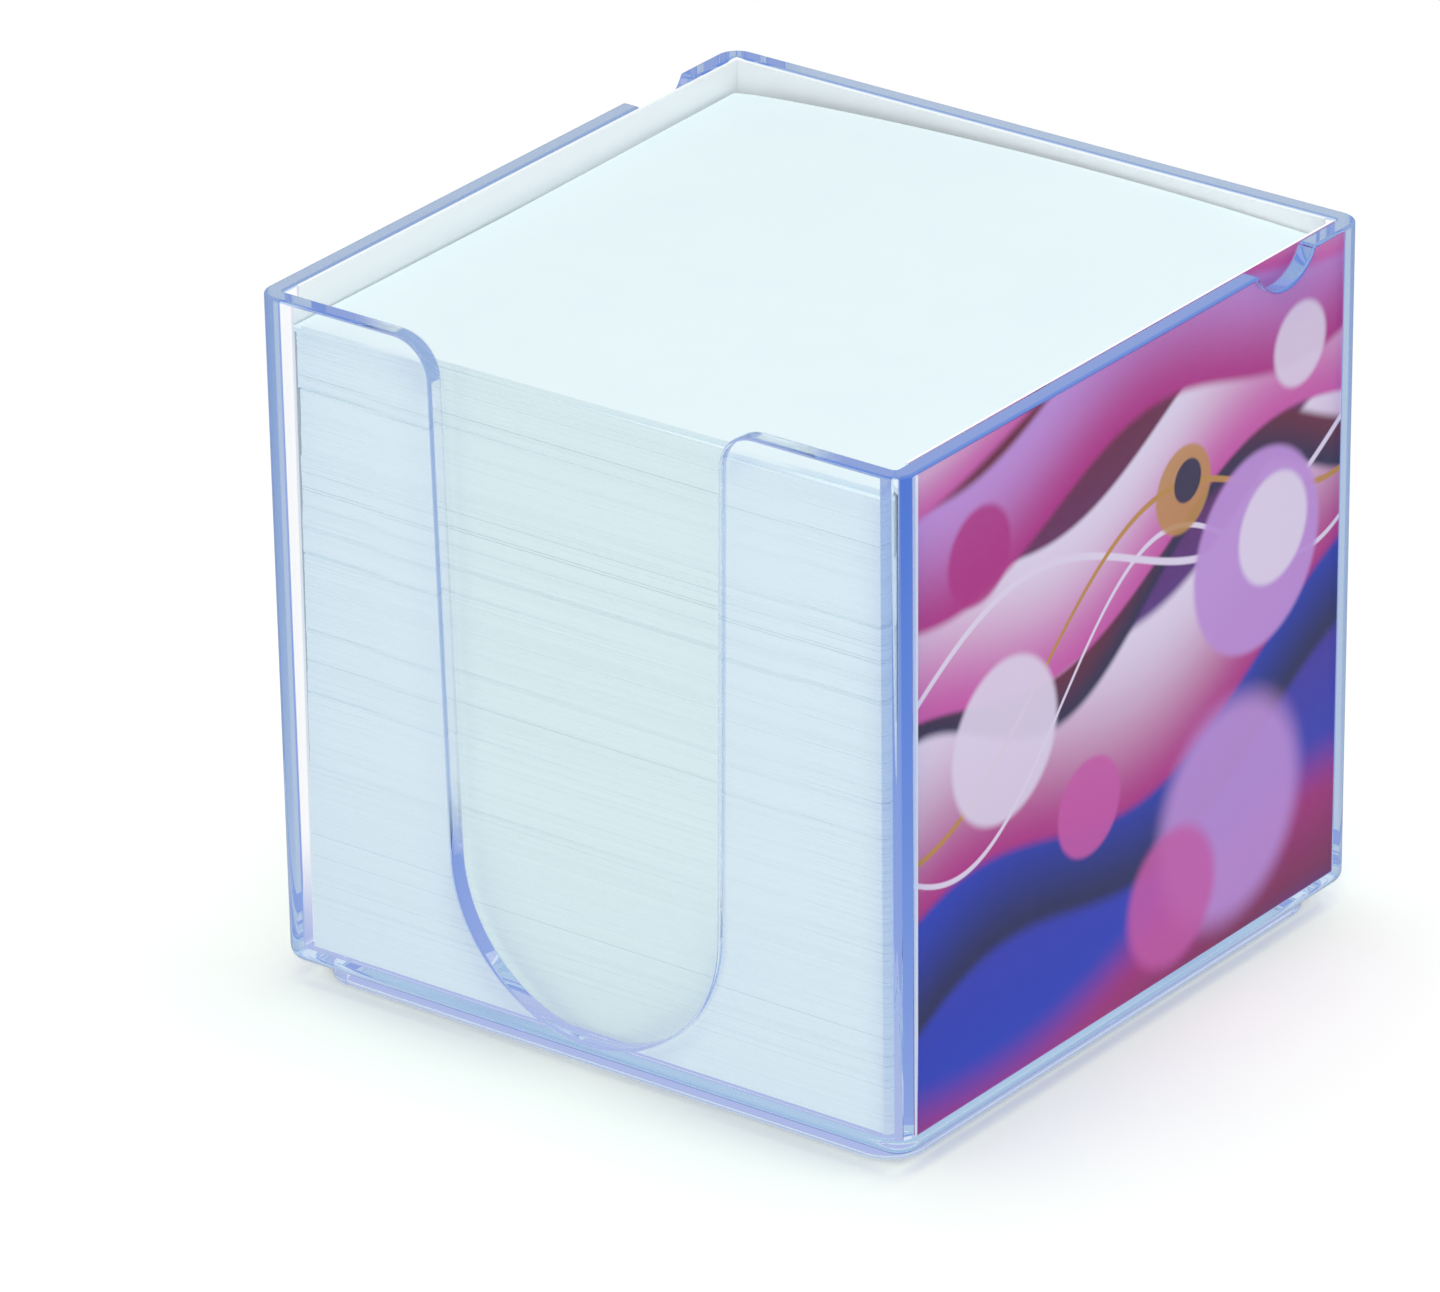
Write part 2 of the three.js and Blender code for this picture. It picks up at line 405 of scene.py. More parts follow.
@dataclass(frozen=True)
class PlainCardFinish:
    """Smooth white card.

    Attributes:
        colour: Colour of the card.
        roughness: Surface roughness.
    """

    colour: Colour = CARD_WHITE
    roughness: float = 0.55

    def material(self) -> bpy.types.Material:
        """Builds the material.

        Returns:
            The plain card.
        """
        made = bpy.data.materials.new("plain_card")
        graph = Graph(made)
        surface = graph.node("BsdfPrincipled", {"Base Color": self.colour, "Roughness": self.roughness})
        graph.output(surface.outputs[0])
        return made


@dataclass(frozen=True)
class Disc:
    """Soft round spot of the print.

    Attributes:
        centre: Share of the card's width from the front and of its height from the foot.
        radius: Share of the card's width.
        softness: Width of the spot's rim, as a share of its radius.
        colour: Colour of the spot.
        strength: How much of the ground it covers.
    """

    centre: tuple[float, float]
    radius: float
    softness: float
    colour: Colour
    strength: float


@dataclass(frozen=True)
class Ribbon:
    """Band of the print that runs across the card in a wave.

    Attributes:
        start: Height of its middle line at the front, as a share of the card's height.
        rise: How much the line climbs across the card.
        swing: Height of the wave.
        waves: Number of waves across the card.
        phase: Where the wave starts, in turns.
        width: Half of the band's width at its middle.
        softness: Width of the band's rims, as a share of its half width.
        shades: Colours at the band's upper and lower rim.
    """

    start: float
    rise: float
    swing: float
    waves: float
    phase: float
    width: float
    softness: float
    shades: tuple[Colour, Colour]


BLUE = (0.0, 0.03, 0.52)
NAVY = (0.004, 0.002, 0.05)
MAGENTA = (0.46, 0.0, 0.22)
RED = (0.15, 0.0, 0.02)
PINK = (0.62, 0.08, 0.40)
LILAC = (0.55, 0.28, 0.72)
PALE = (0.80, 0.70, 0.88)
GOLD = (0.55, 0.26, 0.04)


@dataclass(frozen=True)
class PrintedCardFinish:
    """Card with a printed outer face: waves and soft discs in pinks, reds and blue.

    Attributes:
        foot: Height of the card's lower edge.
        height: Height of the card.
        front: Y of the card's front edge.
        width: Width of the card.
        bare: Colour of the inner face and the cut edges.
        ground: Colours of the print's ground at its foot and its head.
        ribbons: Bands, from the lowest layer up.
        discs: Spots over the bands.
        outer_above: How far a face must look to the right to carry the print.
        roughness: Surface roughness.
        shine: Level of the reflection.
    """

    foot: float
    height: float
    front: float
    width: float
    bare: Colour = CARD_WHITE
    ground: tuple[Colour, Colour] = (BLUE, RED)
    ribbons: tuple[Ribbon, ...] = (
        Ribbon(-0.06, 0.10, 0.05, 0.8, 0.55, 0.16, 0.7, (MAGENTA, RED)),
        Ribbon(0.20, 0.22, 0.06, 1.1, 0.10, 0.10, 0.3, (BLUE, NAVY)),
        Ribbon(0.40, 0.20, 0.07, 1.0, 0.18, 0.15, 0.15, (PALE, MAGENTA)),
        Ribbon(0.56, 0.16, 0.08, 1.3, 0.30, 0.05, 0.4, (RED, NAVY)),
        Ribbon(0.68, 0.16, 0.06, 1.1, 0.36, 0.11, 0.12, (PALE, PINK)),
        Ribbon(0.88, 0.10, 0.05, 1.2, 0.62, 0.10, 0.2, (LILAC, MAGENTA)),
        Ribbon(1.03, 0.04, 0.05, 0.9, 0.80, 0.07, 0.3, (PALE, PINK)),
        Ribbon(0.62, 0.12, 0.10, 0.9, 0.05, 0.008, 0.6, (PALE, PALE)),
        Ribbon(0.45, 0.22, 0.12, 1.2, 0.60, 0.006, 0.6, (PALE, PALE)),
        Ribbon(0.52, 0.22, 0.11, 1.0, 0.72, 0.007, 0.6, (GOLD, GOLD)),
    )
    discs: tuple[Disc, ...] = (
        Disc((0.74, 0.20), 0.20, 0.30, LILAC, 0.9),
        Disc((0.60, 0.12), 0.12, 0.25, PINK, 0.85),
        Disc((0.20, 0.52), 0.13, 0.12, PALE, 0.9),
        Disc((0.80, 0.58), 0.16, 0.10, LILAC, 0.95),
        Disc((0.84, 0.60), 0.09, 0.15, PALE, 0.95),
        Disc((0.62, 0.74), 0.07, 0.12, GOLD, 0.9),
        Disc((0.63, 0.75), 0.035, 0.15, NAVY, 0.95),
        Disc((0.40, 0.34), 0.08, 0.15, PINK, 0.9),
        Disc((0.14, 0.82), 0.08, 0.20, MAGENTA, 0.9),
        Disc((0.90, 0.86), 0.07, 0.20, PALE, 0.85),
    )
    outer_above: float = 0.7
    roughness: float = 0.45
    shine: float = 0.1

    def material(self) -> bpy.types.Material:
        """Builds the material.

        Returns:
            The printed card.
        """
        made = bpy.data.materials.new("printed_card")
        graph = Graph(made)
        _, y, z = graph.axes()
        across = graph.math("DIVIDE", graph.math("SUBTRACT", y, self.front), self.width)
        up = graph.math("DIVIDE", graph.math("SUBTRACT", z, self.foot), self.height)
        colour = graph.blend(graph.ramp(up, 0.0, 1.0), *self.ground)
        for ribbon in self.ribbons:
            colour = self._band(graph, across, up, colour, ribbon)
        for disc in self.discs:
            colour = self._spot(graph, across, up, colour, disc)
        outer = graph.math("GREATER_THAN", graph.facing(0), self.outer_above)
        surface = graph.node(
            "BsdfPrincipled",
            {
                "Base Color": graph.blend(outer, self.bare, colour),
                "Roughness": self.roughness,
                "Specular IOR Level": self.shine,
            },
        )
        graph.output(surface.outputs[0])
        return made

    def _band(self, graph: Graph, across: Socket, up: Socket, ground: Socket, ribbon: Ribbon) -> Socket:
        """Lays one band over the ground.

        Args:
            graph: Graph of the card.
            across: Share of the card's width.
            up: Share of its height.
            ground: Colour under the band.
            ribbon: The band.

        Returns:
            The colour with the band on it.
        """
        turn = graph.math("MULTIPLY_ADD", across, 2 * math.pi * ribbon.waves, 2 * math.pi * ribbon.phase)
        swing = graph.math("MULTIPLY", graph.math("SINE", turn), ribbon.swing)
        line = graph.math("MULTIPLY_ADD", across, ribbon.rise, ribbon.start)
        offset = graph.math("SUBTRACT", graph.math("ADD", line, swing), up)
        away = graph.math("ABSOLUTE", offset)
        inner = ribbon.width * (1.0 - ribbon.softness)
        across_band = graph.ramp(offset, -ribbon.width, ribbon.width)
        share = graph.ramp(away, inner, ribbon.width, 1.0, 0.0)
        return graph.blend(share, ground, graph.blend(across_band, *ribbon.shades))

    def _spot(self, graph: Graph, across: Socket, up: Socket, ground: Socket, disc: Disc) -> Socket:
        """Lays one spot over the ground.

        Args:
            graph: Graph of the card.
            across: Share of the card's width.
            up: Share of its height.
            ground: Colour under the spot.
            disc: The spot.

        Returns:
            The colour with the spot on it.
        """
        side = graph.math("SUBTRACT", across, disc.centre[0])
        rise = graph.math("SUBTRACT", up, disc.centre[1])
        square = graph.math("ADD", graph.math("MULTIPLY", side, side), graph.math("MULTIPLY", rise, rise))
        away = graph.math("SQRT", square)
        share = graph.ramp(away, disc.radius * (1.0 - disc.softness), disc.radius, disc.strength, 0.0)
        return graph.blend(share, ground, disc.colour)


# Mesh helpers


def mesh_object(name: str, vertices: Sequence, faces: Sequence) -> bpy.types.Object:
    """Makes a mesh object in the scene.

    Args:
        name: Name of the object.
        vertices: Points in millimetres.
        faces: Corner numbers of each face.

    Returns:
        The new object, in metres.
    """
    mesh = bpy.data.meshes.new(name)
    points = [tuple(MM * value for value in point) for point in vertices]
    mesh.from_pydata(points, [], faces)
    mesh.validate()
    made = bpy.data.objects.new(name, mesh)
    bpy.context.scene.collection.objects.link(made)
    return made


def rounded_ring(half: float, radius: float, height: float, steps: int = 14) -> Ring:
    """Lays out a square with round corners, counter-clockwise from above.

    Args:
        half: Half of the square's side.
        radius: Radius of its corners.
        height: Height that it lies at.
        steps: Steps round each corner.

    Returns:
        The square's points.
    """
    points = []
    for corner in range(4):
        sign_x = 1 if corner in (0, 3) else -1
        sign_y = 1 if corner < 2 else -1
        for step in range(steps + 1):
            angle = (corner + step / steps) * math.pi / 2
            x = sign_x * (half - radius) + radius * math.cos(angle)
            y = sign_y * (half - radius) + radius * math.sin(angle)
            points.append((x, y, height))
    return points


def loft(name: str, rings: Sequence[Ring]) -> bpy.types.Object:
    """Makes a closed solid over rings.

    Args:
        name: Name of the object.
        rings: Rings of the same number of points, from the lowest to the highest.

    Returns:
        The solid.
    """
    count = len(rings[0])
    vertices = [point for ring in rings for point in ring]
    faces = [list(range(count - 1, -1, -1))]
    for level in range(len(rings) - 1):
        for side in range(count):
            a, b = level * count + side, level * count + (side + 1) % count
            faces.append([a, b, b + count, a + count])
    faces.append(list(range((len(rings) - 1) * count, len(rings) * count)))
    return mesh_object(name, vertices, faces)


def prism(
    name: str, outline: Sequence[tuple[float, float]], along: Vector, place: Matrix
) -> bpy.types.Object:
    """Makes a prism from an outline pushed along a direction.

    Args:
        name: Name of the object.
        outline: Points of the outline in its own plane.
        along: Direction and length of the push.
        place: Where that plane lies.

    Returns:
        The prism.
    """
    count = len(outline)
    near = [place @ Vector((x, y, 0.0)) for x, y in outline]
    far = [point + along for point in near]
    faces = [[side, (side + 1) % count, (side + 1) % count + count, side + count] for side in range(count)]
    faces.append(list(range(count - 1, -1, -1)))
    faces.append(list(range(count, 2 * count)))
    made = mesh_object(name, [tuple(point) for point in near + far], faces)
    make_outward(made)
    return made


def slab_faces(start: int, steps: int) -> list[list[int]]:
    """Joins two square grids of points, one over the other, into a closed slab.

    Args:
        start: Number of the lower grid's first point. The upper grid's points follow the lower one's.
        steps: Faces along each side.

    Returns:
        Corner numbers of each face, turned outward.
    """
    row = steps + 1
    top = start + row * row
    faces = []
    for level in range(steps):
        for column in range(steps):
            a = start + level * row + column
            faces.append([a, a + row, a + row + 1, a + 1])
            b = top + level * row + column
            faces.append([b, b + 1, b + row + 1, b + row])
    border = list(range(row))
    border += [level * row + steps for level in range(1, row)]
    border += [steps * row + column for column in range(steps - 1, -1, -1)]
    border += [level * row for level in range(steps - 1, 0, -1)]
    for here, there in zip(border, border[1:] + border[:1]):
        faces.append([start + here, start + there, top + there, top + here])
    return faces


def make_outward(target: bpy.types.Object) -> None:
    """Turns a closed mesh's faces outward.

    Args:
        target: Object to mend.
    """
    mesh = target.data
    volume = 0.0
    mesh.calc_loop_triangles()
    for triangle in mesh.loop_triangles:
        a, b, c = (mesh.vertices[index].co for index in triangle.vertices)
        volume += a.dot(b.cross(c))
    if volume < 0:
        mesh.flip_normals()


def settle(target: bpy.types.Object) -> None:
    """Applies the object's modifiers.

    Args:
        target: Object to settle.
    """
    graph = bpy.context.evaluated_depsgraph_get()
    final = bpy.data.meshes.new_from_object(target.evaluated_get(graph))
    target.modifiers.clear()
    target.data = final


def combine(base: bpy.types.Object, others: Sequence[bpy.types.Object], operation: str) -> None:
    """Joins or cuts solids into a base by exact booleans and removes them.

    Args:
        base: Solid that is kept.
        others: Solids that are joined or cut.
        operation: The boolean's operation.
    """
    for other in others:
        step = base.modifiers.new(other.name, "BOOLEAN")
        step.operation = operation
        step.solver = "EXACT"
        step.object = other
    settle(base)
    for other in others:
        bpy.data.objects.remove(other)


def smooth(target: bpy.types.Object, largest: float, corners_most: int = 6) -> None:
    """Shades the small faces of curves smooth and leaves the large flat faces flat.

    Args:
        target: Object to shade.
        largest: Area in square millimetres of the largest face that belongs to a curve.
        corners_most: Corners that such a face has at most.
    """
    for polygon in target.data.polygons:
        small = polygon.area < largest * MM * MM
        polygon.use_smooth = small and len(polygon.vertices) <= corners_most


# Sub-assemblies


@dataclass(frozen=True)
class Cavity:
    """Space between the walls, which lean out by the draft.

    Attributes:
        floor: Height of the floor's upper face.
        rim: Height of the rim.
        half: Half of the span at the floor.
        draft: How far each wall leans out between the floor and the rim.
    """

    floor: float = 4.6
    rim: float = 94.0
    half: float = 45.9
    draft: float = 0.6

    def half_at(self, height: float) -> float:
        """Returns half of the span at a height."""
        return self.half + self.draft * (height - self.floor) / (self.rim - self.floor)


@dataclass
class ClearCase:
    """The clear moulding: walls, floor and foot, with the finger cut-out and the pen notches.

    Attributes:
        cavity: Space inside the walls.
        wall: Thickness of the walls.
        corner_radius: Radius of the outside corners.
        cavity_corner: Radius of the inside corners.
        bottom_radius: Rounding of the outside edge at the bottom.
        edge_radius: Rounding of the sharp edges.
        foot_height: Height of the foot.
        foot_inset: How far the foot is set in from the walls.
        foot_ring: Width of the foot's ring.
        foot_draft: How far the foot's faces lean between its edge and its root.
        foot_corner: Radius of the foot's corners.
        gate_dish: Radius and depth of the dish under the floor, round the moulding gate.
        gate_stub: Radius and height of what the gate left there.
        gate_root: How far that reaches up into the floor.
        slot_radius: Radius of the finger cut-out's round end.
        slot_sill: Height of that end above the floor.
        slot_lean: Lean of the cut-out's sides, in degrees.
        shoulder_radius: Radius of the cut-out's shoulders at the rim.
        notch_width: Width of a pen notch at the rim.
        notch_depth: Depth of a pen notch.
        notch_from_back: Distance from the back of the box to the middle of the notches.
        overrun: How far cutters reach past what they cut.
        sharp_angle: Angle in degrees from which an edge is sharp.
        level_slack: Difference up to which a point counts as lying at the floor's height.
        curve_face: Area in square millimetres of the largest face that belongs to a curve.
        cavity_steps: Steps round each inside corner.
        bottom_steps: Steps of the rounding at the bottom.
        edge_steps: Steps of the rounding of the sharp edges.
        gate_steps: Sides of the dish and the stub.
        shoulder_steps: Steps round a shoulder.
        slot_steps: Steps round a quarter of the cut-out's round end.
        notch_steps: Sides of the bar that cuts the notches.
    """

    cavity: Cavity
    wall: float = 2.5
    corner_radius: float = 3.0
    cavity_corner: float = 0.5
    bottom_radius: float = 1.8
    edge_radius: float = 0.38
    foot_height: float = 2.8
    foot_inset: float = 2.8
    foot_ring: float = 2.2
    foot_draft: float = 0.2
    foot_corner: float = 5.5
    gate_dish: tuple[float, float] = (4.0, 0.4)
    gate_stub: tuple[float, float] = (1.2, 0.8)
    gate_root: float = 1.0
    slot_radius: float = 20.4
    slot_sill: float = 0.4
    slot_lean: float = 1.3
    shoulder_radius: float = 5.5
    notch_width: float = 12.0
    notch_depth: float = 3.6
    notch_from_back: float = 17.0
    overrun: float = 2.0
    sharp_angle: float = 30.0
    level_slack: float = 0.01
    curve_face: float = 45.0
    cavity_steps: int = 5
    bottom_steps: int = 8
    edge_steps: int = 4
    gate_steps: int = 48
    shoulder_steps: int = 16
    slot_steps: int = 40
    notch_steps: int = 96

    def build(self, finish: bpy.types.Material) -> bpy.types.Object:
        """Builds the case in place of the CAD node.

        Args:
            finish: The clear plastic.

        Returns:
            The case.
        """
        case = self._walls()
        combine(case, [self._foot()], "UNION")
        combine(case, [self._hollow(), self._recess()], "DIFFERENCE")
        self._add_gate(case)
        combine(case, [self._slot(), self._notches()], "DIFFERENCE")
        self._round_edges(case)
        case.name = "clear_case_moulding"
        case.data.materials.clear()
        case.data.materials.append(finish)
        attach(case, Body.CASE.value)
        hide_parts("clear_case")
        return case

    def _outer(self, height: float) -> float:
        """Returns half of the outside span at a height."""
        return self.cavity.half_at(height) + self.wall

    def _walls(self) -> bpy.types.Object:
        """Makes the outside of the walls, with a rounded bottom edge.

        Returns:
            The solid.
        """
        rings = []
        for step in range(self.bottom_steps + 1):
            angle = step / self.bottom_steps * math.pi / 2
            inset = self.bottom_radius * (1 - math.sin(angle))
            height = self.foot_height + self.bottom_radius * (1 - math.cos(angle))
            rings.append(rounded_ring(self._outer(height) - inset, self.corner_radius - inset, height))
        rings.append(rounded_ring(self._outer(self.cavity.rim), self.corner_radius, self.cavity.rim))
        return loft("walls", rings)

    def _hollow(self) -> bpy.types.Object:
        """Makes the space inside the walls.

        Returns:
            The cutter.
        """
        rings = []
        for height in (self.cavity.floor, self.cavity.rim + self.overrun):
            half = self.cavity.half_at(height)
            rings.append(rounded_ring(half, self.cavity_corner, height, self.cavity_steps))
        return loft("hollow", rings)

    def _foot(self) -> bpy.types.Object:
        """Makes the outside of the foot.

        Returns:
            The solid, which reaches up into the floor.
        """
        root = self._outer(self.foot_height) - self.foot_inset
        head = self.foot_height + (self.cavity.floor - self.foot_height) / 2
        rings = [
            rounded_ring(root - self.foot_draft, self.foot_corner - self.foot_draft, 0.0),
            rounded_ring(root, self.foot_corner, head),
        ]
        return loft("foot", rings)

    def _recess(self) -> bpy.types.Object:
        """Makes the space inside the foot's ring.

        Returns:
            The cutter.
        """
        root = self._outer(self.foot_height) - self.foot_inset - self.foot_draft - self.foot_ring
        radius = self.foot_corner - self.foot_draft - self.foot_ring
        rings = [
            rounded_ring(root + self.foot_draft, radius + self.foot_draft, -self.overrun),
            rounded_ring(root - self.foot_draft, radius - self.foot_draft, self.foot_height),
        ]
        return loft("recess", rings)

    def _add_gate(self, case: bpy.types.Object) -> None:
        """Adds the mark of the moulding gate in a shallow dish under the floor.

        Args:
            case: The case, with its foot.
        """
        dish_radius, dish_depth = self.gate_dish
        stub_radius, stub_height = self.gate_stub
        head = self.foot_height + dish_depth
        combine(case, [self._bar("gate_dish", dish_radius, 0.0, head)], "DIFFERENCE")
        stub = self._bar("gate_stub", stub_radius, head - stub_height, self.foot_height + self.gate_root)
        combine(case, [stub], "UNION")

    def _bar(self, name: str, radius: float, low: float, high: float) -> bpy.types.Object:
        """Makes an upright round bar on the box's middle line.

        Args:
            name: Name of the object.
            radius: Radius of the bar.
            low: Height of its lower end.
            high: Height of its upper end.

        Returns:
            The bar.
        """
        turns = [2 * math.pi * step / self.gate_steps for step in range(self.gate_steps)]
        rings = [[(radius * math.cos(a), radius * math.sin(a), z) for a in turns] for z in (low, high)]
        return loft(name, rings)

    def _slot(self) -> bpy.types.Object:
        """Makes the cutter of the finger cut-out.

        Returns:
            The cutter.
        """
        lean = math.radians(self.slot_lean)
        radius, shoulder = self.slot_radius, self.shoulder_radius
        centre = self.cavity.floor + self.slot_sill + radius
        side_x = radius * math.cos(lean)
        side_z = centre - radius * math.sin(lean)
        shoulder_z = self.cavity.rim - shoulder
        rise = shoulder_z + shoulder * math.sin(lean) - side_z
        shoulder_x = side_x + rise * math.tan(lean) + shoulder * math.cos(lean)
        half = []
        for step in range(self.shoulder_steps + 1):
            angle = math.pi / 2 + (math.pi / 2 - lean) * step / self.shoulder_steps
            half.append((shoulder_x + shoulder * math.cos(angle), shoulder_z + shoulder * math.sin(angle)))
        for step in range(self.slot_steps + 1):
            angle = -lean - (math.pi / 2 - lean) * step / self.slot_steps
            half.append((radius * math.cos(angle), centre + radius * math.sin(angle)))
        outline = [(shoulder_x, self.cavity.rim + self.overrun), *half]
        outline += [(-x, z) for x, z in reversed(outline[:-1])]
        upright = Matrix(((1, 0, 0, 0), (0, 0, 1, 0), (0, 1, 0, 0), (0, 0, 0, 1)))
        front = -self._outer(self.cavity.rim) - self.overrun
        depth = self.wall + self.cavity.draft + 2 * self.overrun
        place = Matrix.Translation((0, front, 0)) @ upright
        return prism("slot", outline, Vector((0, depth, 0)), place)

    def _notches(self) -> bpy.types.Object:
        """Makes the bar that cuts both pen notches.

        Returns:
            The cutter.
        """
        depth = self.notch_depth
        radius = (self.notch_width**2 / 4 + depth**2) / (2 * depth)
        y = self._outer(self.cavity.rim) - self.notch_from_back
        z = self.cavity.rim - depth + radius
        turns = [2 * math.pi * step / self.notch_steps for step in range(self.notch_steps)]
        outline = [(y + radius * math.cos(a), z + radius * math.sin(a)) for a in turns]
        reach = self._outer(self.cavity.rim) + self.overrun
        sideways = Matrix(((0, 0, 1, -reach), (1, 0, 0, 0), (0, 1, 0, 0), (0, 0, 0, 1)))
        return prism("notches", outline, Vector((2 * reach, 0, 0)), sideways)

    def _round_edges(self, case: bpy.types.Object) -> None:
        """Rounds the sharp edges, apart from those round the floor inside.

        Args:
            case: The finished moulding.
        """
        mesh = case.data
        faces: dict[tuple[int, int], list[Vector]] = {}
        for polygon in mesh.polygons:
            for key in polygon.edge_keys:
                faces.setdefault(key, []).append(polygon.normal)
        weights = np.zeros(len(mesh.edges), np.float32)
        floor, slack = self.cavity.floor * MM, self.level_slack * MM
        sharp = math.radians(self.sharp_angle)
        for index, edge in enumerate(mesh.edges):
            pair = faces.get(tuple(sorted(edge.vertices)), [])
            if len(pair) != 2 or pair[0].angle(pair[1], 0.0) < sharp:
                continue
            heights = [mesh.vertices[vertex].co.z for vertex in edge.vertices]
            if max(abs(height - floor) for height in heights) > slack:
                weights[index] = 1.0
        attribute = mesh.attributes.new("bevel_weight_edge", "FLOAT", "EDGE")
        attribute.data.foreach_set("value", weights)
        bevel = case.modifiers.new("bevel", "BEVEL")
        bevel.limit_method = "WEIGHT"
        bevel.offset_type = "OFFSET"
        bevel.width = self.edge_radius * MM
        bevel.segments = self.edge_steps
        bevel.use_clamp_overlap = False
        settle(case)
        smooth(case, self.curve_face)


@dataclass
class InsertCard:
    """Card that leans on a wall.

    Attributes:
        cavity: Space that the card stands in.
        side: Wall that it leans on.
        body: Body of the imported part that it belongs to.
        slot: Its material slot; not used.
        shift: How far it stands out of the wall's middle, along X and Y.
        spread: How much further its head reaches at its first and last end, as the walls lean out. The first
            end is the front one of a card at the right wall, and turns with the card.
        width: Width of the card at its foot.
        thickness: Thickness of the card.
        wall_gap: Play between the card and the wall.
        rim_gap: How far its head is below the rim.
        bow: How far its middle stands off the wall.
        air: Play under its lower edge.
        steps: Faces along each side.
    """

    cavity: Cavity
    side: Side
    body: Body
    slot: Slot
    shift: tuple[float, float]
    spread: tuple[float, float]
    width: float = SHEET_SIDE
    thickness: float = 0.4
    wall_gap: float = 0.12
    rim_gap: float = 0.15
    bow: float = 0.05
    air: float = 0.02
    steps: int = 24

    def build(self, finish: bpy.types.Material) -> bpy.types.Object:
        """Builds the card in place of its CAD node.

        Args:
            finish: Material of the card.

        Returns:
            The card.
        """
        turn = Matrix.Rotation(math.radians(self.side.value), 4, "Z")
        offset = Vector((*self.shift, 0))
        shares = [step / self.steps for step in range(self.steps + 1)]
        vertices = []
        for depth in (0.0, self.thickness):
            vertices += [turn @ self._point(depth, up, across) + offset for up in shares for across in shares]
        card = mesh_object(f"{self.body.value}_sheet", vertices, slab_faces(0, self.steps))
        make_outward(card)
        card.data.materials.append(finish)
        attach(card, self.body.value)
        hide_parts(self.body.value)
        return card

    def _point(self, depth: float, up: float, across: float) -> Vector:
        """Places one point of the card as at the right wall.

        Args:
            depth: How far it lies behind the outer face.
            up: Share of the card's height.
            across: Share of its width.

        Returns:
            The point.
        """
        foot, head = self.cavity.floor + self.air, self.cavity.rim - self.rim_gap
        z = foot + (head - foot) * up
        x = self.cavity.half_at(z) - self.wall_gap - depth
        x -= self.bow * math.sin(math.pi * up) * math.sin(math.pi * across)
        y = (across - 0.5) * self.width
        y += up * (self.spread[1] * across - self.spread[0] * (1 - across))
        return Vector((x, y, z))


@dataclass
class CardSet:
    """The three insert cards: a printed one at the right wall, plain ones at the left and the back.

    Attributes:
        cavity: Space that they stand in.
        back_gap: Play between the side cards and the back wall, at the foot.
        back_shift: How far the back card stands to the right of the middle.
        spread: How much further a card's head reaches towards a wall that leans out beside it.
    """

    cavity: Cavity
    back_gap: float = 0.3
    back_shift: float = -0.45
    spread: float = 0.6

    def build(self) -> list[bpy.types.Object]:
        """Builds the cards.

        Returns:
            The right, left and back cards.
        """
        plain = PlainCardFinish().material()
        low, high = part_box("right_card")
        printed = PrintedCardFinish(low.z, high.z - low.z, low.y, high.y - low.y).material()
        side_shift = (0.0, self.cavity.half - self.back_gap - SHEET_SIDE / 2)
        back_shift = (self.back_shift, 0.0)
        first, last, both = (self.spread, 0.0), (0.0, self.spread), (self.spread, self.spread)
        right = InsertCard(self.cavity, Side.RIGHT, Body.RIGHT_CARD, Slot.PRINTED_CARD, side_shift, last)
        left = InsertCard(self.cavity, Side.LEFT, Body.LEFT_CARD, Slot.PLAIN_CARD, side_shift, first)
        back = InsertCard(self.cavity, Side.BACK, Body.BACK_CARD, Slot.PLAIN_CARD, back_shift, both)
        return [right.build(printed), left.build(plain), back.build(plain)]


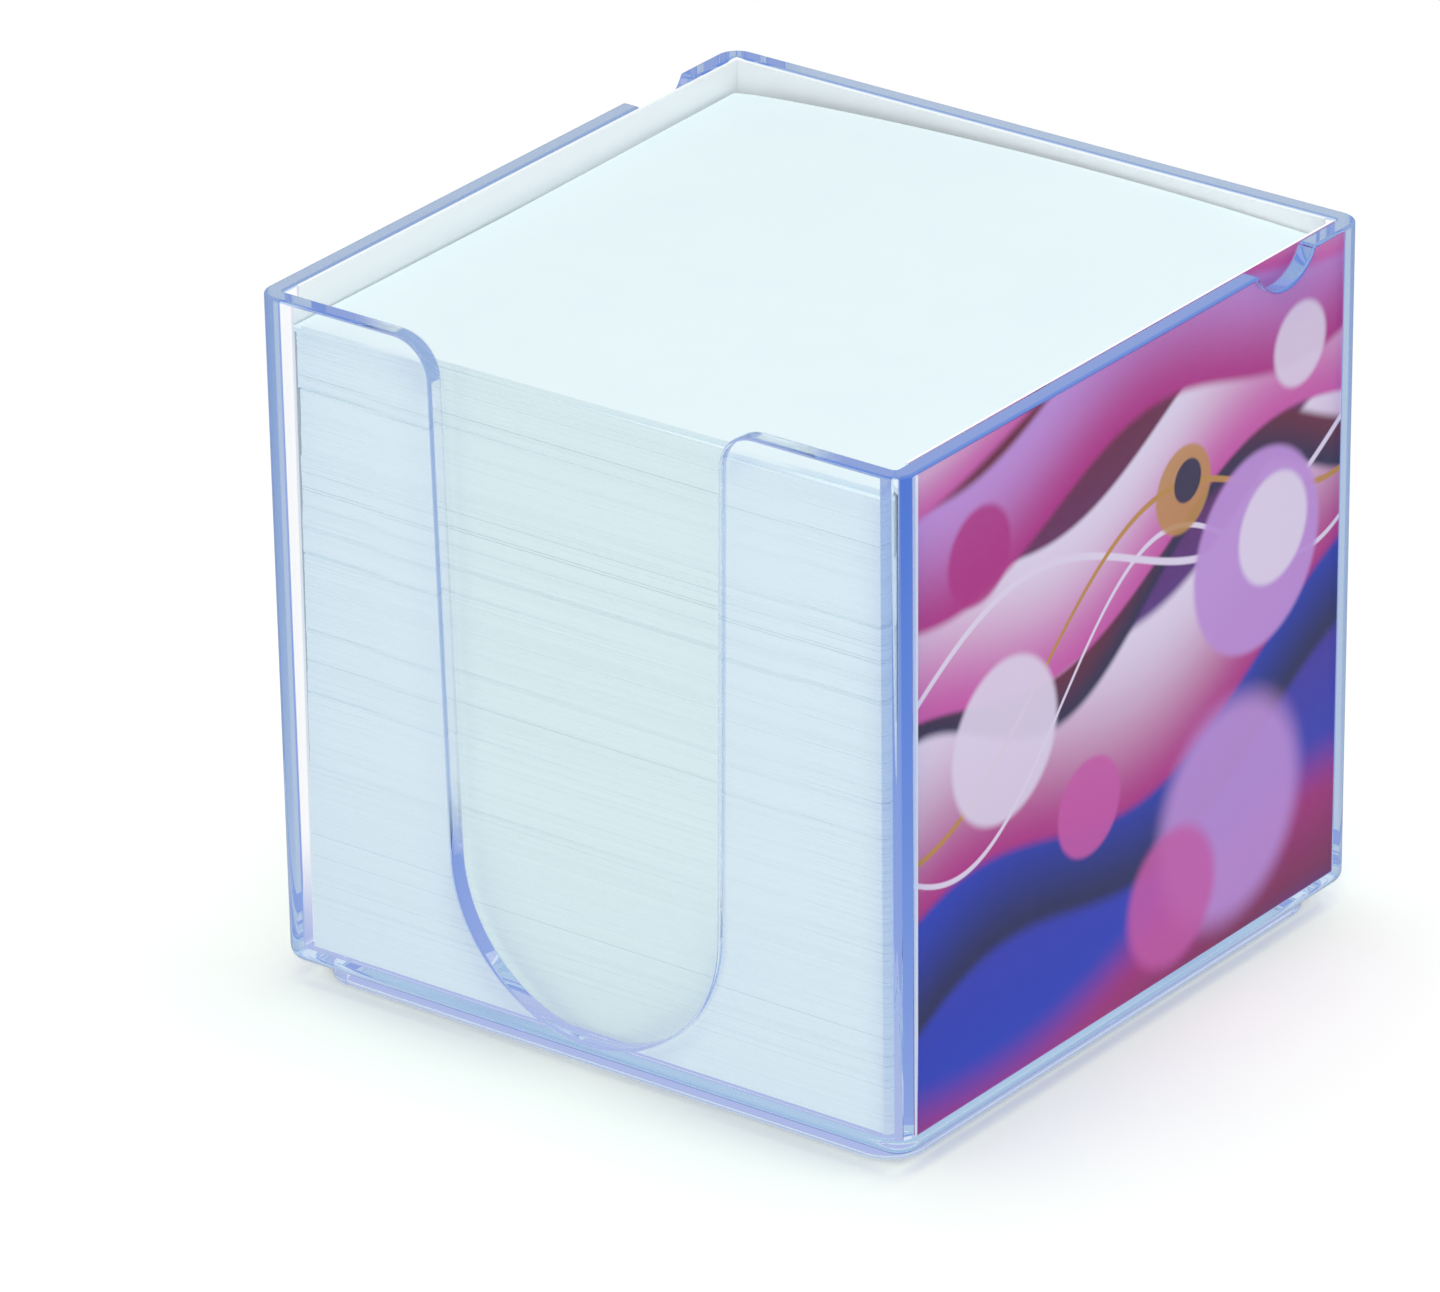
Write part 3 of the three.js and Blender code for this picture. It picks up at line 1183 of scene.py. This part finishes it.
@dataclass
class NoteStack:
    """Loose note sheets in the lifts in which they were cut, each sheet a piece of its own.

    Attributes:
        cavity: Space that the sheets lie in.
        side: Width and depth of a sheet.
        pitch: Height that one sheet takes.
        thickness: Thickness of one sheet.
        counts: Sheets in each lift from the floor up, the loose sheaf last.
        places: Sideways, rearward and turn in degrees of each lift.
        pushed: Number of sheets at the head of a lift that lie further sideways, and how far.
        slip: How far single sheets lie out of line.
        drift: How far that line wanders from one sheet to the next.
        stray_above: Draw between 0 and 1 above which a sheet strays.
        stray_slips: How far it strays, in slips.
        slip_turn: Degrees that a sheet turns for each unit of its slip.
        curl: Height of the slow waves of the sheaf on top.
        curl_level: Mean of those waves.
        curl_swing: How far they swing about it.
        curl_waves: Half waves from front to back.
        curl_phase: Where they start, in radians.
        arch: How far the sheaf's rear edge bulges up.
        arch_share: Share of a half wave that the bulge takes from left to right.
        arch_power: Power of its sine, fuller below 1.
        air: Play under the lowest sheet, so that the floor under it still mirrors inside.
        grid: Faces along each side of a loose sheet.
        random: Source of the random draws.
    """

    cavity: Cavity
    side: float = SHEET_SIDE
    pitch: float = 0.1
    thickness: float = 0.098
    counts: tuple[int, ...] = (60, 98, 98, 98, 90, 100, 132, 90, 80, 8)
    places: tuple[tuple[float, float, float], ...] = (
        (-0.05, -0.10, 0.0),
        (-0.08, -0.15, 0.05),
        (0.0, -0.12, -0.10),
        (0.10, -0.18, 0.10),
        (0.05, -0.10, -0.15),
        (0.12, -0.18, 0.19),
        (0.08, -0.12, -0.19),
        (0.15, -0.10, 0.15),
        (-0.15, 0.05, -0.19),
        (0.30, 0.25, 0.90),
    )
    pushed: dict[int, tuple[int, float]] = field(default_factory=lambda: {8: (6, -0.62)})
    slip: float = 0.014
    drift: float = 0.007
    stray_above: float = 0.93
    stray_slips: float = 2.0
    slip_turn: float = 0.4
    curl: float = 0.25
    curl_level: float = 0.5
    curl_swing: float = 0.3
    curl_waves: float = 2.2
    curl_phase: float = 0.6
    arch: float = 2.3
    arch_share: float = 0.86
    arch_power: float = 0.7
    air: float = 0.02
    grid: int = 28
    random: np.random.Generator = field(default_factory=lambda: np.random.default_rng(SEED))

    def build(self, finish: bpy.types.Material) -> list[bpy.types.Object]:
        """Builds every lift in place of its CAD node.

        Args:
            finish: The paper.

        Returns:
            The lifts, from the floor up.
        """
        made = []
        height = self.cavity.floor + self.air
        for level, count in enumerate(self.counts):
            loose = level == len(self.counts) - 1
            name = "top_note_sheaf" if loose else f"note_lift_{level + 1}"
            lift = self._lift(name, height, level, loose)
            lift.data.materials.append(finish)
            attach(lift, name)
            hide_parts(name)
            made.append(lift)
            height += count * self.pitch
        return made

    def _lift(self, name: str, bottom: float, level: int, loose: bool) -> bpy.types.Object:
        """Makes one lift of sheets.

        Args:
            name: Name of the lift.
            bottom: Height of its underside.
            level: Its number, counted from 0 at the floor.
            loose: True for the sheaf on top, whose sheets aren't flat.

        Returns:
            The lift.
        """
        count = self.counts[level]
        right, rearward, turned = self.places[level]
        pushed_count, pushed_by = self.pushed.get(level, (0, 0.0))
        grid = self.grid if loose else 1
        vertices: list[Point] = []
        faces: list[list[int]] = []
        for number, slip in enumerate(self._slips(count)):
            sideways = pushed_by if number >= count - pushed_count else 0.0
            shift = (right + slip[0] + sideways, rearward + slip[1])
            turn = math.radians(turned + slip[2] * self.slip_turn)
            faces += slab_faces(len(vertices), grid)
            vertices += self._sheet(grid, bottom + number * self.pitch, shift, turn, loose)
        return mesh_object(f"{name}_sheets", vertices, faces)

    def _slips(self, count: int) -> np.ndarray:
        """Draws how far each sheet of a lift lies out of line.

        Args:
            count: Number of sheets.

        Returns:
            A row for each sheet: sideways, rearward and turn.
        """
        drift = np.cumsum(self.random.normal(0.0, self.drift, (count, 3)), axis=0)
        drift -= np.linspace(drift[0], drift[-1], count)
        slips = self.random.normal(0.0, self.slip, (count, 3)) + drift
        stray = self.random.random(count) > self.stray_above
        slips[stray] += self.random.normal(0.0, self.slip * self.stray_slips, (int(stray.sum()), 3))
        return slips

    def _sheet(
        self, grid: int, bottom: float, shift: tuple[float, float], turn: float, loose: bool
    ) -> list[Point]:
        """Lays out the points of one sheet.

        Args:
            grid: Faces along each side.
            bottom: Height of its underside.
            shift: How far it lies out of the middle, along X and Y.
            turn: Its turn about Z, in radians.
            loose: True if it isn't flat.

        Returns:
            The points of its lower and then of its upper face.
        """
        points = []
        cosine, sine = math.cos(turn), math.sin(turn)
        for layer in (0.0, self.thickness):
            for j in range(grid + 1):
                for i in range(grid + 1):
                    u, v = i / grid, j / grid
                    x, y = (u - 0.5) * self.side, (v - 0.5) * self.side
                    z = bottom + layer
                    if loose:
                        z += self._wave(u, v)
                    points.append((x * cosine - y * sine + shift[0], x * sine + y * cosine + shift[1], z))
        return points

    def _wave(self, u: float, v: float) -> float:
        """Works out how far a loose sheet lifts at a place on it.

        Args:
            u: Share of the sheet's width from the left.
            v: Share of its depth from the front.

        Returns:
            The lift in millimetres.
        """
        raised = self.arch * math.sin(self.arch_share * math.pi * u) ** self.arch_power * v**2
        slow = math.sin(math.pi * u) * math.sin(self.curl_waves * math.pi * v + self.curl_phase)
        dome = math.sin(math.pi * u) * math.sin(math.pi * v)
        return self.curl * (self.curl_level + self.curl_swing * slow * math.sin(math.pi * v)) * dome + raised


# Stage and camera


@dataclass(frozen=True)
class SoftLamp:
    """Square lamp that points at the foot of the object.

    Attributes:
        name: Name of the lamp.
        place: Place of the lamp.
        power: Power in watts.
        size: Length of its side.
    """

    name: str
    place: Point
    power: float
    size: float

    def build(self) -> None:
        """Adds the lamp to the scene."""
        lamp = bpy.data.lights.new(self.name, "AREA")
        lamp.energy = self.power
        lamp.size = self.size
        holder = bpy.data.objects.new(self.name, lamp)
        bpy.context.scene.collection.objects.link(holder)
        place = Vector(self.place)
        holder.location = place
        holder.rotation_euler = (-place).to_track_quat("-Z", "Y").to_euler()


@dataclass(frozen=True)
class Studio:
    """Pale floor, soft white light from all around, and a soft lamp overhead and one in front.

    Attributes:
        floor_size: Side of the floor.
        floor_colour: Colour of the floor.
        floor_lift: Light added to the floor where the camera or glass sees it, which brings it to white.
        floor_glow: Brightness of the painted light the floor gives off where seen through the plastic.
        floor_tint: Colour of that glow under the box, a painted shade for what the plastic lets down to it.
        shade_reach: Distances from the middle between which that colour fades.
        fade_reach: Distances from the middle between which the floor fades to plain white.
        mirrored: Colour of the surroundings in a single reflection, as through a polarising filter.
        inside: Their colour in a single reflection inside the clear plastic.
        sky: Colour of the light from all around.
        sky_strength: Strength of that light.
        lamps: The lamps.
    """

    floor_size: float = 12.0
    floor_colour: Colour = (0.92, 0.965, 0.905)
    floor_lift: float = 0.12
    floor_glow: float = 1.0
    floor_tint: Colour = (0.42, 0.49, 0.80)
    shade_reach: tuple[float, float] = (0.052, 0.075)
    fade_reach: tuple[float, float] = (0.075, 0.2)
    mirrored: Colour = (0.3, 0.3, 0.3)
    inside: Colour = (0.42, 0.50, 0.78)
    sky: Colour = (0.99, 0.99, 1.0)
    sky_strength: float = 0.64
    lamps: tuple[SoftLamp, ...] = (
        SoftLamp("overhead", (0.08, 0.08, 1.2), 4.3, 0.6),
        SoftLamp("front", (0.5, -0.7, 0.85), 2.5, 0.6),
    )

    def build(self) -> None:
        """Builds the floor, the sky and the lamps."""
        half = self.floor_size / MM / 2
        points = [(-half, -half, 0.0), (half, -half, 0.0), (half, half, 0.0), (-half, half, 0.0)]
        floor = mesh_object("studio_floor", points, [[0, 1, 2, 3]])
        floor.data.materials.append(self._floor_finish())
        self._sky()
        for lamp in self.lamps:
            lamp.build()

    def _floor_finish(self) -> bpy.types.Material:
        """Builds the floor's material.

        Returns:
            The material.
        """
        made = bpy.data.materials.new("studio_floor")
        graph = Graph(made)
        path = graph.node("LightPath")
        seen = self._seen(graph, path)
        lift = graph.math("MULTIPLY", seen, self.floor_lift)
        matte = graph.node("BsdfDiffuse", {"Color": self.floor_colour})
        glow = graph.node("Emission", {"Color": WHITE, "Strength": lift})
        both = graph.node("AddShader", {0: matte.outputs[0], 1: glow.outputs[0]})
        away = self._away(graph)
        white = graph.node("Emission", {"Color": WHITE, "Strength": 1.0})
        far = graph.math("MULTIPLY", seen, graph.ramp(away, *self.fade_reach))
        plain = graph.either(far, both, white)
        # Painted light: seen through the plastic, the floor glows instead of keeping its shadow.
        through = graph.reached(path.outputs["Transmission Depth"], 1)
        straight = graph.below(path.outputs["Diffuse Depth"], 1)
        led = graph.reached(path.outputs["Glossy Depth"], 1)
        shaded = graph.ramp(away, *self.shade_reach, 1.0, 0.0)
        tinted = graph.math("MULTIPLY", straight, graph.math("MAXIMUM", led, shaded))
        tint = graph.blend(tinted, WHITE, self.floor_tint)
        under = graph.node("Emission", {"Color": tint, "Strength": self.floor_glow})
        surface = graph.either(through, plain, under)
        dim = graph.node("Emission", {"Color": self._reflected(graph, path), "Strength": 1.0})
        shown = graph.either(self._once(graph, path), surface, dim)
        graph.output(shown.outputs[0])
        return made

    @staticmethod
    def _away(graph: Graph) -> Socket:
        """Returns how far a place on the floor is from the middle, square to the walls."""
        x, y, _ = graph.axes()
        return graph.math("MAXIMUM", graph.math("ABSOLUTE", x), graph.math("ABSOLUTE", y))

    @staticmethod
    def _seen(graph: Graph, path: bpy.types.Node) -> Socket:
        """Returns 1 for what the camera sees, straight or by way of a mirror or glass."""
        seen = graph.math("MAXIMUM", path.outputs["Is Camera Ray"], path.outputs["Is Glossy Ray"])
        return graph.math("MAXIMUM", seen, path.outputs["Is Transmission Ray"])

    @staticmethod
    def _once(graph: Graph, path: bpy.types.Node) -> Socket:
        """Picks out what is seen in a single reflection.

        Args:
            graph: Graph of the floor or the sky.
            path: Its Light Path node.

        Returns:
            1 for a single reflection, and 0 elsewhere.
        """
        low = graph.reached(path.outputs["Glossy Depth"], 1)
        high = graph.below(path.outputs["Glossy Depth"], 2)
        straight = graph.below(path.outputs["Diffuse Depth"], 1)
        return graph.math("MULTIPLY", graph.math("MULTIPLY", low, high), straight)

    def _reflected(self, graph: Graph, path: bpy.types.Node) -> Socket:
        """Returns the surroundings' colour in a single reflection, on the object or inside its plastic."""
        through = graph.reached(path.outputs["Transmission Depth"], 1)
        return graph.blend(through, self.mirrored, self.inside)

    def _sky(self) -> None:
        """Builds the world: white to the camera, dim in a single reflection, soft light to all else."""
        world = bpy.data.worlds.new("studio")
        bpy.context.scene.world = world
        graph = Graph(world)
        path = graph.node("LightPath")
        light = graph.node("Background", {"Color": self.sky, "Strength": self.sky_strength})
        white = graph.node("Background", {"Color": WHITE, "Strength": 1.0})
        mixed = graph.either(self._seen(graph, path), light, white)
        dim = graph.node("Background", {"Color": self._reflected(graph, path), "Strength": 1.0})
        shown = graph.either(self._once(graph, path), mixed, dim)
        graph.output(shown.outputs[0])


@dataclass(frozen=True)
class PhotoCamera:
    """Camera at the photograph's place.

    Attributes:
        place: Place in millimetres in the row frame.
        right: Direction of the picture's right side.
        down: Direction of the picture's lower side.
        lens: Focal length in millimetres.
        sensor: Width of the sensor in millimetres.
        clip: Nearest and furthest distance that it sees, in metres.
    """

    place: Point = (805.29, -1084.23, 670.19)
    right: Point = (0.800793, 0.598816, -0.012221)
    down: Point = (0.244069, -0.344890, -0.906356)
    lens: float = 297.45
    sensor: float = 36.0
    clip: tuple[float, float] = (0.05, 30.0)

    def build(self) -> bpy.types.Object:
        """Builds the camera and makes it the scene's own.

        Returns:
            The camera.
        """
        data = bpy.data.cameras.new("photo_camera")
        data.sensor_fit = "HORIZONTAL"
        data.sensor_width = self.sensor
        data.lens = self.lens
        data.clip_start, data.clip_end = self.clip
        camera = bpy.data.objects.new("photo_camera", data)
        bpy.context.scene.collection.objects.link(camera)
        right, up = Vector(self.right).normalized(), -Vector(self.down).normalized()
        back = right.cross(up).normalized()
        up = back.cross(right)
        turn = Matrix((right, up, back)).transposed().to_4x4()
        camera.matrix_world = Matrix.Translation(Vector(self.place) * MM) @ turn
        bpy.context.scene.camera = camera
        return camera


def main() -> None:
    """Builds the scene."""
    logging.basicConfig(level=logging.INFO, format="%(name)s: %(message)s")
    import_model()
    cavity = Cavity()
    bpy.context.scene.view_settings.view_transform = "Standard"

    case = ClearCase(cavity).build(ClearPlasticFinish().material())
    LOG.info("%s: %d faces", case.name, len(case.data.polygons))
    for piece in CardSet(cavity).build() + NoteStack(cavity).build(PaperFinish().material()):
        LOG.info("%s: %d faces", piece.name, len(piece.data.polygons))

    Studio().build()
    LOG.info("camera %s", PhotoCamera().build().name)


if __name__ == "__main__":
    main()
